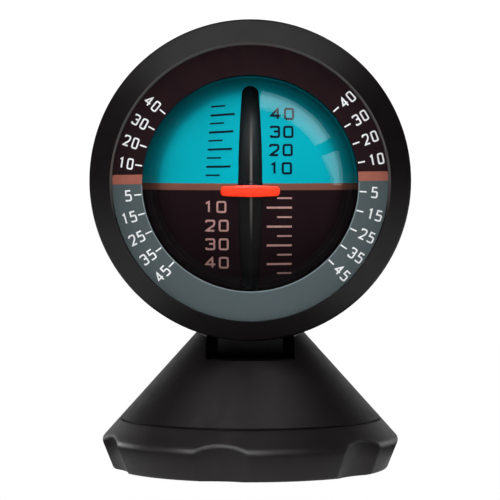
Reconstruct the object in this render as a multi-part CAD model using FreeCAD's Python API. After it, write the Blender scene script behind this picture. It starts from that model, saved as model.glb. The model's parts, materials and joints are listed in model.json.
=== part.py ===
import FreeCAD, Part
import math
import os

# Ball inclinometer for a dashboard: a weighted ball in a two-axis gimbal, behind a
# domed window, in a round case that tilts on a conical stand which turns on a base.
#
# Millimetres.  X runs to the right of someone reading the dial, Y away from them,
# Z up.  The origin is the centre of the face that the instrument rests on.

Vec = FreeCAD.Vector
AXIS_X = Vec(1, 0, 0)
AXIS_Y = Vec(0, 1, 0)
AXIS_Z = Vec(0, 0, 1)

# ---------------------------------------------------------------- fits
RUNNING = 0.05          # radial clearance of a shaft in its bearing
LOOSE = 0.2             # clearance of pieces that pass or nest without bearing
PRESS_GAP = 0.1         # radial clearance of the bezel on the case's spigot

# ---------------------------------------------------------------- base
grip_r = 34.9           # widest radius of the base
grip_edge_z = 7.4       # height of that widest edge
grip_edge_round = 1.5
foot_r = 32.1           # radius of the skirt at its foot
foot_z = 0.4            # height of the foot over the pad's sticky face
foot_round = 1.0
seam_r = 30.8           # where base and stand meet
seam_z = 12.0
rim_width = 3.3         # radial width of the base's top rim
base_floor = 2.2        # thickness of the base's floor
well_r = 7.5            # raised middle of the floor, which houses the screw head
well_rise = 4.2
flute_count = 6
flute_first_deg = -11.4  # turn of one flute from the front, seen from above
flute_width = 12.8      # at the widest edge
flute_depth = 1.75

pad_r = 27.0
pad_thick = 1.0

glide_width = 1.8       # low-friction ring between base and stand
glide_thick = 0.7
seam_gap = 0.35         # open joint between base and stand

# ---------------------------------------------------------------- stand
cone_half_angle = 42.0  # degrees, from the vertical
stand_wall = 2.4
stand_ceiling_z = 20.6
register_wall = 1.3     # lip that centres the stand in the base
register_depth = 2.2
post_r = 5.0
rib_count = 4
rib_thick = 1.6
fork_floor_z = 26.6
saddle_gap = 1.0        # room between the bezel and the cheeks' curved tops

# ---------------------------------------------------------------- swivel joint
swivel_screw_r = 2.0
swivel_head_r = 3.7
swivel_head_h = 2.4
swivel_screw_reach = 7.0  # length of thread in the insert
wave_washer_r = 4.6
wave_washer_h = 0.8
insert_wall = 1.0
insert_h = 8.0

# ---------------------------------------------------------------- tilt joint
tilt_z = 27.6           # height of the tilt pin
tilt_pin_r = 1.75
tilt_pin_recess = 2.0   # depth of the pin's right end in its hole
tilt_pin_skin = 3.4     # depth of its left end under the cone
knuckle_r = 4.2
knuckle_width = 15.2
tilt_washer_r = 4.0
tilt_washer_thick = 2.6

# ---------------------------------------------------------------- case
bezel_r = 36.7
rim_over_pin = 3.55     # the bezel's lowest point above the tilt pin's middle
rim_rise = 0.65         # the window sits this much lower, so the bezel is wider above it
bezel_front_y = -21.0
bezel_face_deg = 28.0   # slope of the bezel's conical face
bezel_corner = 0.8
bezel_back_y = -9.1
bezel_face_width = 5.3  # width of the conical face around the window
bezel_wall = 2.45
bezel_inner_chamfer = 0.4
bezel_lip = 2.4         # depth of the window's edge in front of the dial

dial_thick = 1.0
dial_gap = 0.3          # space between the dial and the dome

window_room = 0.56      # space between the pointer and the inside of the dome
window_wall = 1.4
window_flange = 1.4
gasket_thick = 0.8
gasket_width = 2.4

bowl_inset = 0.6        # step from the bezel to the round bowl behind it
bowl_front_y = -9.0
bowl_wall = 2.0
spigot_wall = 3.1
neck_flare = 3.4        # radius where the neck spreads into the bowl
shaft_boss_r = 6.2      # boss in the bowl that takes the fixed shaft
shaft_boss_thick = 2.8
shaft_boss_proud = 0.4

# ---------------------------------------------------------------- fixed shaft
gimbal_drop = 1.0       # gimbal centre below the window's centre line
shaft_r = 1.5
shaft_flange_r = 3.2
shaft_flange_h = 1.0
shaft_flange_gap = 1.2  # space between the ball's back and the flange
shaft_tip_r = 0.75
shaft_tip_skin = 0.5    # pointer material left in front of the shaft's tip
nut_flats = 5.5
nut_h = 2.4
nut_washer_r = 3.5
nut_washer_h = 0.5
shaft_end_past_nut = 0.5
clip_r = 2.2
clip_h = 0.6

pointer_width = 13.2
pointer_height = 2.6
pointer_crown = 0.2     # bulge of the bar's long edges
pointer_corner = 0.8
pointer_drop = 0.64     # bar centre below the shaft
pointer_thick = 1.1
pointer_gap = 0.6       # space between ball and bar
collar_r = 1.3

# ---------------------------------------------------------------- ball
ball_r = 26.4
ball_wall = 1.6
slot_mid_width = 5.4
slot_end_width = 3.8
slot_end_z = 23.2       # half length of the slot, measured straight
band_height = 1.5
band_rise = 0.3         # middle of the band above the ball's equator
band_depth = 0.8
trunnion_boss_wall = 1.4
trunnion_bush_wall = 1.0
trunnion_bush_len = 3.0
trunnion_skin = 2.2     # ball wall left outside the bush
weight_height = 9.8     # the weights' flat top over the bottom of the ball's inside
weight_inner_x = 4.6
weight_outer_x = 14.0

# ---------------------------------------------------------------- gimbal yoke
hoop_gap = 0.4          # space between the hoop's crest and the ball's inside
hoop_width = 7.6
hoop_thick = 2.6
hoop_roof = 1.0         # height of the crest over the hoop's shoulders
hoop_crest_width = 0.7
hub_r = 3.6
hub_mouth_gap = 0.1
bush_wall = 0.9
bush_len = 4.0
bush_inset = 2.4        # from the hoop's crest to the bush
arm_r = 3.0
arm_gap = 0.3           # space between the arm's end and the ball's boss
pitch_pin_r = 1.0
pitch_pin_root = 3.5    # length of the pin inside the arm
pitch_pin_end_gap = 0.2

# ---------------------------------------------------------------- derived places
fork_gap = knuckle_width + 2 * tilt_washer_thick
insert_r = swivel_screw_r + insert_wall
hub_bore_r = shaft_r + bush_wall
hub_mouth_r = shaft_r + hub_mouth_gap
trunnion_bush_r = pitch_pin_r + trunnion_bush_wall
trunnion_boss_r = trunnion_bush_r + trunnion_boss_wall
case_z = tilt_z + rim_over_pin + bezel_r
window_z = case_z - rim_rise
gimbal_z = window_z - gimbal_drop
ball_inner_r = ball_r - ball_wall
stand_foot_z = seam_z + seam_gap
rim_inner_r = seam_r - rim_width
floor_low_z = pad_thick
floor_top_z = floor_low_z + base_floor
well_low_z = floor_low_z + well_rise
well_top_z = well_low_z + base_floor
post_foot_z = well_top_z + seam_gap
hoop_crest_r = ball_inner_r - hoop_gap
bush_front_y = -(hoop_crest_r - bush_inset)
pointer_back_r = ball_r + pointer_gap
pointer_front_r = pointer_back_r + pointer_thick
tip_y = -(pointer_front_r - shaft_tip_skin)
collar_back_y = -(hoop_crest_r + LOOSE)
window_r = pointer_front_r + window_room + window_wall
dial_front_y = bezel_front_y + bezel_lip
dial_back_y = dial_front_y + dial_thick
dial_window_r = math.sqrt(window_r ** 2 - dial_back_y ** 2) + dial_gap
window_back_y = dial_back_y + window_flange
spigot_front_y = window_back_y + gasket_thick
bezel_bore_r = bezel_r - bezel_face_width
bezel_skirt_r = bezel_r - bezel_wall
spigot_r = bezel_skirt_r - PRESS_GAP
spigot_bore_r = spigot_r - spigot_wall
stack_r = bezel_skirt_r - rim_rise - RUNNING
boss_in_y = ball_r + shaft_flange_gap + shaft_flange_h
boss_out_y = boss_in_y + shaft_boss_thick
bowl_r = bezel_r - bowl_inset
bowl_inner_r = bowl_r - bowl_wall
bowl_y = boss_out_y - shaft_boss_proud - bowl_r
washer_y = boss_out_y
nut_y = washer_y + nut_washer_h
shaft_end_y = nut_y + nut_h + shaft_end_past_nut
trunnion_bush_end = ball_r - trunnion_skin
trunnion_boss_x = trunnion_bush_end - trunnion_bush_len
arm_reach = trunnion_boss_x - arm_gap
weight_top_z = gimbal_z - ball_inner_r + weight_height


# ---------------------------------------------------------------- helpers
def cylinder(radius, start, end, direction, through=Vec(0, 0, 0)):
    """Round bar along a direction, from one distance to another past a point."""
    low, high = min(start, end), max(start, end)
    return Part.makeCylinder(radius, high - low, through + direction * low, direction)


def tube(outer_r, inner_r, start, end, direction, through=Vec(0, 0, 0)):
    """Round tube along a direction."""
    bore = cylinder(inner_r, start, end, direction, through)
    return cylinder(outer_r, start, end, direction, through).cut(bore)


def centred_box(x_width, y_range, z_range):
    """Box that is symmetric about the middle plane X = 0."""
    corner = Vec(-x_width / 2, y_range[0], z_range[0])
    return Part.makeBox(x_width, y_range[1] - y_range[0], z_range[1] - z_range[0], corner)


def line(a, b):
    """Straight edge."""
    return Part.makeLine(a, b)


def arc(a, b, c):
    """Round edge from a to c through b."""
    return Part.Arc(a, b, c).toShape()


def loop(points):
    """Closed wire of straight edges."""
    return Part.makePolygon(points + [points[0]])


def rounded_loop(points, rounds):
    """Closed wire whose corners are rounded where rounds gives their index a radius."""
    edges = []
    count = len(points)
    starts = []
    ends = []
    for index, corner in enumerate(points):
        radius = rounds.get(index, 0)
        if radius == 0:
            starts.append(corner)
            ends.append(corner)
            continue
        back = (points[index - 1] - corner).normalize()
        ahead = (points[(index + 1) % count] - corner).normalize()
        half_angle = back.getAngle(ahead) / 2
        reach = radius / math.tan(half_angle)
        middle = (back + ahead).normalize()
        centre = corner + middle * (radius / math.sin(half_angle))
        starts.append(corner + back * reach)
        ends.append(corner + ahead * reach)
        edges.append(arc(starts[-1], centre - middle * radius, ends[-1]))
    for index in range(count):
        edges.append(line(ends[index], starts[(index + 1) % count]))
    return Part.Wire(Part.__sortEdges__(edges))


def turned(wire, direction, through=Vec(0, 0, 0)):
    """Solid made by turning a closed wire once around an axis."""
    return Part.Face(wire).revolve(through, direction, 360)


def turned_z(profile, rounds={}):
    """Solid of revolution about Z from (radius, height) points."""
    return turned(rounded_loop([Vec(r, 0, z) for r, z in profile], rounds), AXIS_Z)


def turned_y(profile, z, rounds={}):
    """Solid of revolution about the Y line at a height, from (radius, y) points."""
    centre = Vec(0, 0, z)
    return turned(rounded_loop([Vec(r, y, z) for r, y in profile], rounds), AXIS_Y, centre)


def polar(radius, degrees, z=0.0):
    """Point by its turn from the front, positive towards the right."""
    angle = math.radians(degrees)
    return Vec(radius * math.sin(angle), -radius * math.cos(angle), z)


def cone_r(z):
    """Radius of the stand's outside at a height."""
    return seam_r - (z - seam_z) * math.tan(math.radians(cone_half_angle))


def mirrored(shape):
    """The shape's other hand across the middle plane."""
    return shape.mirror(Vec(0, 0, 0), AXIS_X)


# ---------------------------------------------------------------- base
def flute_cutter():
    """Round bar that scoops one finger flute, leaning with the skirt, its seam outside."""
    half = flute_width / 2
    ring_rise = grip_r - math.sqrt(grip_r ** 2 - half ** 2)
    scoop = flute_depth - ring_rise
    radius = (half ** 2 + scoop ** 2) / (2 * scoop)
    lean = math.atan2(grip_r - foot_r, grip_edge_z - foot_z)
    reach = 3 * grip_edge_z
    root = polar(grip_r - flute_depth + radius / math.cos(lean), 0, grip_edge_z)
    up = Vec(0, -math.sin(lean), math.cos(lean))
    bar = Part.makeCylinder(radius, 2 * reach, root - up * reach, up)
    return bar.rotated(root, up, 180)


def base_body():
    """Base with a sloped shoulder, a tapered skirt and six finger flutes."""
    body = turned_z([
        (0, well_low_z),
        (well_r, well_low_z),
        (well_r, floor_low_z),
        (pad_r + LOOSE, floor_low_z),
        (pad_r + LOOSE, foot_z),
        (foot_r, foot_z),
        (grip_r, grip_edge_z),
        (seam_r, seam_z),
        (rim_inner_r, seam_z),
        (rim_inner_r, floor_top_z),
        (well_r + base_floor, floor_top_z),
        (well_r + base_floor, well_top_z),
        (0, well_top_z),
    ], {5: foot_round, 6: grip_edge_round})
    cutter = flute_cutter()
    for index in range(flute_count):
        turn = flute_first_deg + index * 360.0 / flute_count
        body = body.cut(cutter.rotated(Vec(0, 0, 0), AXIS_Z, turn))
    screw_hole = cylinder(swivel_screw_r + LOOSE, 0, seam_z, AXIS_Z)
    return body.cut(screw_hole).cut(glide_seat())


def glide_middle_r():
    """Middle radius of the glide ring, on the base's rim."""
    return seam_r - rim_width / 2


def glide_seat():
    """Groove in the base's rim for the glide ring."""
    middle = glide_middle_r()
    half = glide_width / 2 + RUNNING
    seat_z = stand_foot_z - glide_thick
    return tube(middle + half, middle - half, seat_z, seam_z + 1, AXIS_Z)


def glide_ring():
    """Low-friction ring that the stand turns on."""
    middle = glide_middle_r()
    half = glide_width / 2
    return tube(middle + half, middle - half, stand_foot_z - glide_thick, stand_foot_z, AXIS_Z)


def adhesive_pad():
    """Foam pad on the underside of the base."""
    return cylinder(pad_r, 0, pad_thick, AXIS_Z)


# ---------------------------------------------------------------- stand
def stand_outline(low_z, high_z, offset):
    """Cone between two heights, smaller than the outside by an offset."""
    return Part.makeCone(
        cone_r(low_z) - offset, cone_r(high_z) - offset, high_z - low_z, Vec(0, 0, low_z)
    )


def stand_cone():
    """Hollow conical stand whose top is a fork with a curved saddle."""
    slant_wall = stand_wall / math.cos(math.radians(cone_half_angle))
    top_z = case_z - bezel_r + knuckle_r
    body = stand_outline(stand_foot_z, top_z, 0)
    body = body.cut(stand_outline(stand_foot_z - 1, stand_ceiling_z, slant_wall))
    register_r = rim_inner_r - LOOSE
    register = tube(
        register_r, register_r - register_wall, seam_z - register_depth, stand_foot_z + 1, AXIS_Z
    )
    post = cylinder(post_r, post_foot_z, stand_ceiling_z + 1, AXIS_Z)
    body = body.fuse([register, post] + stand_ribs())
    body = body.cut(fork_slot())
    saddle = cylinder(bezel_r + saddle_gap, -grip_r, grip_r, AXIS_Y, Vec(0, 0, case_z))
    body = body.cut(saddle)
    pin_hole = cylinder(tilt_pin_r, tilt_pin_left_x(), grip_r, AXIS_X, Vec(0, 0, tilt_z))
    insert_hole = cylinder(insert_r, post_foot_z, post_foot_z + insert_h, AXIS_Z)
    return body.cut(pin_hole).cut(insert_hole).removeSplitter()


def stand_ribs():
    """Ribs between the post and the cone's wall."""
    ribs = []
    low_z = stand_foot_z + register_depth
    room = stand_outline(low_z, stand_ceiling_z + 1, stand_wall / 2)
    for index in range(rib_count):
        bar = Part.makeBox(
            seam_r, rib_thick, stand_ceiling_z + 1 - low_z, Vec(0, -rib_thick / 2, low_z)
        )
        turn = 45 + index * 360.0 / rib_count
        ribs.append(bar.rotated(Vec(0, 0, 0), AXIS_Z, turn).common(room))
    return ribs


def fork_slot():
    """Slot between the cheeks, with a round pocket for the knuckle."""
    slot = centred_box(fork_gap, (-grip_r, grip_r), (fork_floor_z, case_z))
    pocket_r = knuckle_r + 2 * LOOSE
    pocket = cylinder(pocket_r, -fork_gap / 2, fork_gap / 2, AXIS_X, Vec(0, 0, tilt_z))
    return slot.fuse(pocket)


def thread_insert():
    """Brass thread insert in the foot of the post."""
    return tube(insert_r, swivel_screw_r, post_foot_z, post_foot_z + insert_h, AXIS_Z)


def swivel_screw():
    """Pan-head screw that holds stand and base together."""
    head_top = well_low_z - wave_washer_h
    head_low = head_top - swivel_head_h
    head = cylinder(swivel_head_r, head_low, head_top, AXIS_Z)
    shank = cylinder(swivel_screw_r, head_top, post_foot_z + swivel_screw_reach, AXIS_Z)
    socket = cylinder(swivel_screw_r * 0.6, head_low, head_low + swivel_head_h / 2, AXIS_Z)
    return head.fuse(shank).cut(socket).removeSplitter()


def wave_washer():
    """Spring washer under the screw's head, which sets the swivel's drag."""
    low_z = well_low_z - wave_washer_h
    return tube(wave_washer_r, swivel_screw_r + LOOSE, low_z, well_low_z - RUNNING, AXIS_Z)


# ---------------------------------------------------------------- tilt joint
def tilt_pin_left_x():
    """Where the pin's blind hole ends in the left cheek."""
    return tilt_pin_skin - cone_r(tilt_z)


def tilt_pin():
    """Steel pin through both cheeks and the case's knuckle."""
    right_x = cone_r(tilt_z) - tilt_pin_recess
    return cylinder(tilt_pin_r, tilt_pin_left_x(), right_x, AXIS_X, Vec(0, 0, tilt_z))


def friction_washers():
    """Pair of washers between the knuckle and the cheeks."""
    right = tube(
        tilt_washer_r, tilt_pin_r + RUNNING, knuckle_width / 2, fork_gap / 2 - RUNNING,
        AXIS_X, Vec(0, 0, tilt_z)
    )
    return Part.makeCompound([right, mirrored(right)])


# ---------------------------------------------------------------- case
def neck():
    """Neck under the bowl, which ends in the knuckle for the tilt pin."""
    half = knuckle_width / 2
    top_z = case_z - bowl_inner_r
    flare_z = top_z - neck_flare
    spread = knuckle_r + neck_flare
    turn = neck_flare * (1 - math.sqrt(0.5))

    def at(y, z):
        return Vec(-half, y, z)

    side = Part.Wire([
        arc(at(-knuckle_r, tilt_z), at(0, tilt_z - knuckle_r), at(knuckle_r, tilt_z)),
        line(at(knuckle_r, tilt_z), at(knuckle_r, flare_z)),
        arc(at(knuckle_r, flare_z), at(knuckle_r + turn, top_z - turn), at(spread, top_z)),
        line(at(spread, top_z), at(-spread, top_z)),
        arc(at(-spread, top_z), at(-knuckle_r - turn, top_z - turn), at(-knuckle_r, flare_z)),
        line(at(-knuckle_r, flare_z), at(-knuckle_r, tilt_z)),
    ])
    return Part.Face(side).extrude(AXIS_X * knuckle_width)


def case_shell():
    """Rear bowl of the case, with its spigot, shaft boss and neck."""
    middle = Vec(0, 0, case_z)
    bowl_centre = Vec(0, bowl_y, case_z)
    shaft_line = Vec(0, 0, gimbal_z)
    ahead = cylinder(2 * bowl_r, -2 * bowl_r, bowl_front_y, AXIS_Y, middle)
    bowl = Part.makeSphere(bowl_r, bowl_centre).cut(ahead)
    spigot = cylinder(spigot_r, spigot_front_y, bowl_front_y, AXIS_Y, middle)
    boss = cylinder(shaft_boss_r, boss_in_y, boss_out_y, AXIS_Y, shaft_line)
    body = bowl.fuse([spigot, boss, neck()])
    hollow = Part.makeSphere(bowl_inner_r, bowl_centre).cut(ahead)
    seat = cylinder(
        shaft_boss_r - bowl_wall, boss_in_y, boss_out_y, AXIS_Y, shaft_line
    )
    mouth = cylinder(spigot_bore_r, spigot_front_y, bowl_front_y, AXIS_Y, middle)
    body = body.cut([hollow.cut(seat), mouth])
    shaft_hole = cylinder(shaft_r, 0, boss_out_y, AXIS_Y, shaft_line)
    pin_hole = cylinder(
        tilt_pin_r + RUNNING, -knuckle_width, knuckle_width, AXIS_X, Vec(0, 0, tilt_z)
    )
    return body.cut([shaft_hole, pin_hole]).removeSplitter()


def front_bezel():
    """Press-on bezel with a conical face, wider above the window than below it."""
    slope = math.tan(math.radians(bezel_face_deg))
    inner_r = bezel_bore_r - 2 * rim_rise
    ring = turned_y([
        (inner_r, dial_front_y),
        (inner_r, bezel_front_y - (bezel_bore_r - inner_r) * slope),
        (bezel_r, bezel_front_y + (bezel_r - bezel_bore_r) * slope),
        (bezel_r, bezel_back_y),
        (bezel_skirt_r, bezel_back_y),
        (bezel_skirt_r, dial_front_y),
    ], case_z, {2: bezel_corner})
    window_line = Vec(0, 0, window_z)
    low_y = bezel_front_y - bezel_lip
    bore = cylinder(bezel_bore_r, low_y, bezel_back_y, AXIS_Y, window_line)
    chamfer_r = bezel_bore_r + bezel_lip
    chamfer_y = bezel_front_y + bezel_inner_chamfer - bezel_lip
    chamfer = Part.makeCone(
        chamfer_r, bezel_bore_r, bezel_lip, window_line + AXIS_Y * chamfer_y, AXIS_Y
    )
    return ring.cut([bore, chamfer])


def scale_ring():
    """Fixed roll scale: a flat ring under the bezel's lip."""
    return tube(stack_r, dial_window_r, dial_front_y, dial_back_y, AXIS_Y, Vec(0, 0, window_z))


def dome_lens():
    """Clear dome with a flat flange behind the scale ring."""
    centre = Vec(0, 0, window_z)
    flange = cylinder(stack_r, dial_back_y, window_back_y, AXIS_Y, centre)
    ahead = cylinder(window_r, -window_r, dial_back_y, AXIS_Y, centre)
    dome = Part.makeSphere(window_r, centre).common(ahead)
    hollow = Part.makeSphere(window_r - window_wall, centre)
    return dome.fuse(flange).cut(hollow).removeSplitter()


def lens_gasket():
    """Rubber ring between the window's flange and the case."""
    outer_r = stack_r - LOOSE
    return tube(
        outer_r, outer_r - gasket_width, window_back_y, spigot_front_y, AXIS_Y, Vec(0, 0, window_z)
    )


# ---------------------------------------------------------------- fixed shaft
def pivot_shaft():
    """Fixed shaft on which the gimbal rolls, with a thin tip for the pointer."""
    flange_y = boss_in_y - shaft_flange_h
    return turned_y([
        (0, tip_y),
        (shaft_tip_r, tip_y),
        (shaft_tip_r, collar_back_y),
        (shaft_r, collar_back_y),
        (shaft_r, flange_y),
        (shaft_flange_r, flange_y),
        (shaft_flange_r, boss_in_y),
        (shaft_r, boss_in_y),
        (shaft_r, shaft_end_y),
        (0, shaft_end_y),
    ], gimbal_z)


def shaft_washer():
    """Plain washer behind the case."""
    return tube(nut_washer_r, shaft_r, washer_y, nut_y, AXIS_Y, Vec(0, 0, gimbal_z))


def shaft_nut():
    """Hexagon nut that holds the shaft in the case."""
    corner_r = nut_flats / 2 / math.cos(math.radians(30))
    corners = []
    for index in range(6):
        angle = math.radians(60 * index)
        corners.append(Vec(corner_r * math.cos(angle), nut_y, gimbal_z + corner_r * math.sin(angle)))
    prism = Part.Face(loop(corners)).extrude(AXIS_Y * nut_h)
    return prism.cut(cylinder(shaft_r, nut_y, nut_y + nut_h, AXIS_Y, Vec(0, 0, gimbal_z)))


def shaft_clip():
    """Retaining clip behind the gimbal's rear bush."""
    clip_y = -bush_front_y + RUNNING
    return tube(clip_r, shaft_r, clip_y, clip_y + clip_h, AXIS_Y, Vec(0, 0, gimbal_z))


def pointer_collar():
    """Black collar between the gimbal and the pointer."""
    front_y = -math.sqrt(pointer_back_r ** 2 - collar_r ** 2)
    return tube(collar_r, shaft_tip_r, collar_back_y, front_y, AXIS_Y, Vec(0, 0, gimbal_z))


def pointer_bar():
    """Fixed orange bar, bent to the ball's curve, with rounded corners."""
    middle_z = gimbal_z - pointer_drop
    half_w = pointer_width / 2
    half_h = pointer_height / 2
    end_h = half_h - pointer_crown
    corner_x = half_w - pointer_corner
    corner_z = end_h - pointer_corner
    reach = pointer_corner * math.sqrt(0.5)

    def at(x, z):
        return Vec(x, 0, middle_z + z)

    def corner(side, up):
        start = at(side * corner_x, up * end_h)
        middle = at(side * (corner_x + reach), up * (corner_z + reach))
        return arc(start, middle, at(side * half_w, up * corner_z))

    def end(side):
        return Part.makeLine(at(side * half_w, corner_z), at(side * half_w, -corner_z))

    outline = Part.Wire([
        arc(at(-corner_x, end_h), at(0, half_h), at(corner_x, end_h)),
        corner(1, 1),
        end(1),
        corner(1, -1),
        arc(at(corner_x, -end_h), at(0, -half_h), at(-corner_x, -end_h)),
        corner(-1, -1),
        end(-1),
        corner(-1, 1),
    ])
    blank = Part.Face(outline).extrude(AXIS_Y * (-pointer_front_r))
    bend = tube(pointer_front_r, pointer_back_r, middle_z - half_w, middle_z + half_w, AXIS_Z)
    tip = cylinder(shaft_tip_r, tip_y, 0, AXIS_Y, Vec(0, 0, gimbal_z))
    return blank.common(bend).cut(tip)


# ---------------------------------------------------------------- ball
def slot_cutter():
    """Long slot with bowed flanks and round ends, cut through front and back."""
    mid = slot_mid_width / 2
    end = slot_end_width / 2
    end_z = slot_end_z - end

    def at(x, z):
        return Vec(x, -ball_r - 1, gimbal_z + z)

    outline = Part.Wire([
        arc(at(-end, -end_z), at(-mid, 0), at(-end, end_z)),
        arc(at(-end, end_z), at(0, slot_end_z), at(end, end_z)),
        arc(at(end, end_z), at(mid, 0), at(end, -end_z)),
        arc(at(end, -end_z), at(0, -slot_end_z), at(-end, -end_z)),
    ])
    return Part.Face(outline).extrude(AXIS_Y * (2 * ball_r + 2))


def half_space(sign):
    """Block above or below the ball's equator."""
    size = 4 * ball_r
    low = gimbal_z if sign > 0 else gimbal_z - size
    return Part.makeBox(size, size, size, Vec(-size / 2, -size / 2, low))


def ball_shell(sign):
    """Upper or lower half of the ball, with half of each trunnion boss."""
    centre = Vec(0, 0, gimbal_z)
    inner = Part.makeSphere(ball_inner_r, centre)
    shell = Part.makeSphere(ball_r, centre).cut(inner)
    bosses = cylinder(trunnion_boss_r, -ball_inner_r, ball_inner_r, AXIS_X, centre)
    bosses = bosses.cut(cylinder(2 * trunnion_boss_r, -trunnion_boss_x, trunnion_boss_x, AXIS_X, centre))
    body = shell.fuse(bosses.common(Part.makeSphere(ball_inner_r + ball_wall / 2, centre)))
    bores = cylinder(trunnion_bush_r, -trunnion_bush_end, trunnion_bush_end, AXIS_X, centre)
    body = body.cut(bores).cut(band_ring(band_depth + 1)).cut(slot_cutter())
    return body.common(half_space(sign)).removeSplitter()


def band_ring(depth_out):
    """Ring around the ball's equator, reaching out from the groove's floor."""
    floor_r = ball_r - band_depth
    half = band_height / 2
    centre = Vec(0, 0, gimbal_z + band_rise)
    return tube(floor_r + depth_out, floor_r, -half, half, AXIS_Z, centre)


def horizon_band():
    """Inlaid band in two halves, one each side of the slot."""
    band = band_ring(band_depth + 1).common(Part.makeSphere(ball_r, Vec(0, 0, gimbal_z)))
    return band.cut(slot_cutter())


def trunnion_bushes():
    """Brass bushes for the pitch pins, clamped between the ball's halves."""
    right = tube(
        trunnion_bush_r, pitch_pin_r + RUNNING, trunnion_boss_x, trunnion_bush_end,
        AXIS_X, Vec(0, 0, gimbal_z)
    )
    return Part.makeCompound([right, mirrored(right)])


def ball_weights():
    """Pair of weights in the bottom of the ball, clear of the gimbal's hoop."""
    block = Part.makeBox(
        weight_outer_x - weight_inner_x, 2 * ball_r, ball_r,
        Vec(weight_inner_x, -ball_r, weight_top_z - ball_r)
    )
    right = block.common(Part.makeSphere(ball_inner_r, Vec(0, 0, gimbal_z)))
    return Part.makeCompound([right, mirrored(right)])


# ---------------------------------------------------------------- gimbal yoke
def roll_yoke():
    """Hoop that closes the ball's slot, with a hub for the shaft and two arms."""
    centre = Vec(0, 0, gimbal_z)
    half = hoop_width / 2
    crest = hoop_crest_width / 2
    shoulder_r = hoop_crest_r - hoop_roof
    inner_r = hoop_crest_r - hoop_thick
    profile = [
        (-half, inner_r),
        (half, inner_r),
        (half, shoulder_r),
        (crest, hoop_crest_r),
        (-crest, hoop_crest_r),
        (-half, shoulder_r),
    ]
    hoop = turned(loop([Vec(x, 0, gimbal_z + r) for x, r in profile]), AXIS_X, centre)
    hub_end = shoulder_r - hoop_roof / 2
    hub = cylinder(hub_r, -hub_end, hub_end, AXIS_Y, centre)
    arms = cylinder(arm_r, -arm_reach, arm_reach, AXIS_X, centre)
    body = hoop.fuse([hub, arms])
    bore = cylinder(hub_bore_r, bush_front_y, ball_r, AXIS_Y, centre)
    mouth = cylinder(hub_mouth_r, -ball_r, 0, AXIS_Y, centre)
    root = arm_reach - pitch_pin_root
    pin_hole = cylinder(pitch_pin_r, root, arm_reach + 1, AXIS_X, centre)
    return body.cut([bore, mouth, pin_hole, mirrored(pin_hole)]).removeSplitter()


def roll_bushes():
    """Brass bushes at both ends of the yoke's hub."""
    centre = Vec(0, 0, gimbal_z)
    front = tube(
        hub_bore_r, shaft_r + RUNNING, bush_front_y, bush_front_y + bush_len, AXIS_Y, centre
    )
    rear = tube(
        hub_bore_r, shaft_r + RUNNING, -bush_front_y - bush_len, -bush_front_y, AXIS_Y, centre
    )
    return Part.makeCompound([front, rear])


def pitch_pins():
    """Steel pins in the yoke's arms, on which the ball pitches."""
    right = cylinder(
        pitch_pin_r, arm_reach - pitch_pin_root, trunnion_bush_end - pitch_pin_end_gap,
        AXIS_X, Vec(0, 0, gimbal_z)
    )
    return Part.makeCompound([right, mirrored(right)])


# ---------------------------------------------------------------- assembly
def build():
    """All pieces by name."""
    return {
        "base_body": base_body(),
        "adhesive_pad": adhesive_pad(),
        "glide_ring": glide_ring(),
        "stand_cone": stand_cone(),
        "thread_insert": thread_insert(),
        "swivel_screw": swivel_screw(),
        "wave_washer": wave_washer(),
        "tilt_pin": tilt_pin(),
        "friction_washers": friction_washers(),
        "case_shell": case_shell(),
        "front_bezel": front_bezel(),
        "scale_ring": scale_ring(),
        "dome_lens": dome_lens(),
        "lens_gasket": lens_gasket(),
        "pivot_shaft": pivot_shaft(),
        "shaft_washer": shaft_washer(),
        "shaft_nut": shaft_nut(),
        "shaft_clip": shaft_clip(),
        "pointer_collar": pointer_collar(),
        "pointer_bar": pointer_bar(),
        "roll_yoke": roll_yoke(),
        "roll_bushes": roll_bushes(),
        "pitch_pins": pitch_pins(),
        "ball_upper_shell": ball_shell(1),
        "ball_lower_shell": ball_shell(-1),
        "horizon_band": horizon_band(),
        "trunnion_bushes": trunnion_bushes(),
        "ball_weights": ball_weights(),
    }


def main():
    """Write one file per piece."""
    os.makedirs("parts", exist_ok=True)
    for name, shape in build().items():
        shape.exportStep("parts/" + name + ".step")


if __name__ == "__main__":
    main()
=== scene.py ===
import json
import math
from collections import namedtuple

import bmesh
import bpy
from mathutils import Matrix, Vector


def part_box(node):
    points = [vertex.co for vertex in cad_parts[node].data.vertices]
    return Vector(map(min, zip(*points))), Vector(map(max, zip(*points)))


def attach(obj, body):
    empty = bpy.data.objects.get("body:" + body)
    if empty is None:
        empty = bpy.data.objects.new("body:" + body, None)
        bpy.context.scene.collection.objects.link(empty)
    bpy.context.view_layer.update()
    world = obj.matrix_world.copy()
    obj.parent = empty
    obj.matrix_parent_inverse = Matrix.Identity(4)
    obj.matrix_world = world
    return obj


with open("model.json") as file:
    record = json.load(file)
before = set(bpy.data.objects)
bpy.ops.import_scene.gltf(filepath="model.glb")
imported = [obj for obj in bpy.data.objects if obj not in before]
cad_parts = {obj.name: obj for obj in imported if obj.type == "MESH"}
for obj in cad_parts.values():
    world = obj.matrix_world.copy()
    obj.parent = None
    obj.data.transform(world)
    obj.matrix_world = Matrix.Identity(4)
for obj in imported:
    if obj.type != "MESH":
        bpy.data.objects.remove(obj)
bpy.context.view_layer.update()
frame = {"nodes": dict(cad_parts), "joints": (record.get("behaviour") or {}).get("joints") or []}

# Looks of a ball inclinometer: printed scales, plastics, metals and the clear dome,
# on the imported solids.  Metres, in the frame of the solids.

MM = 0.001

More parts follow.
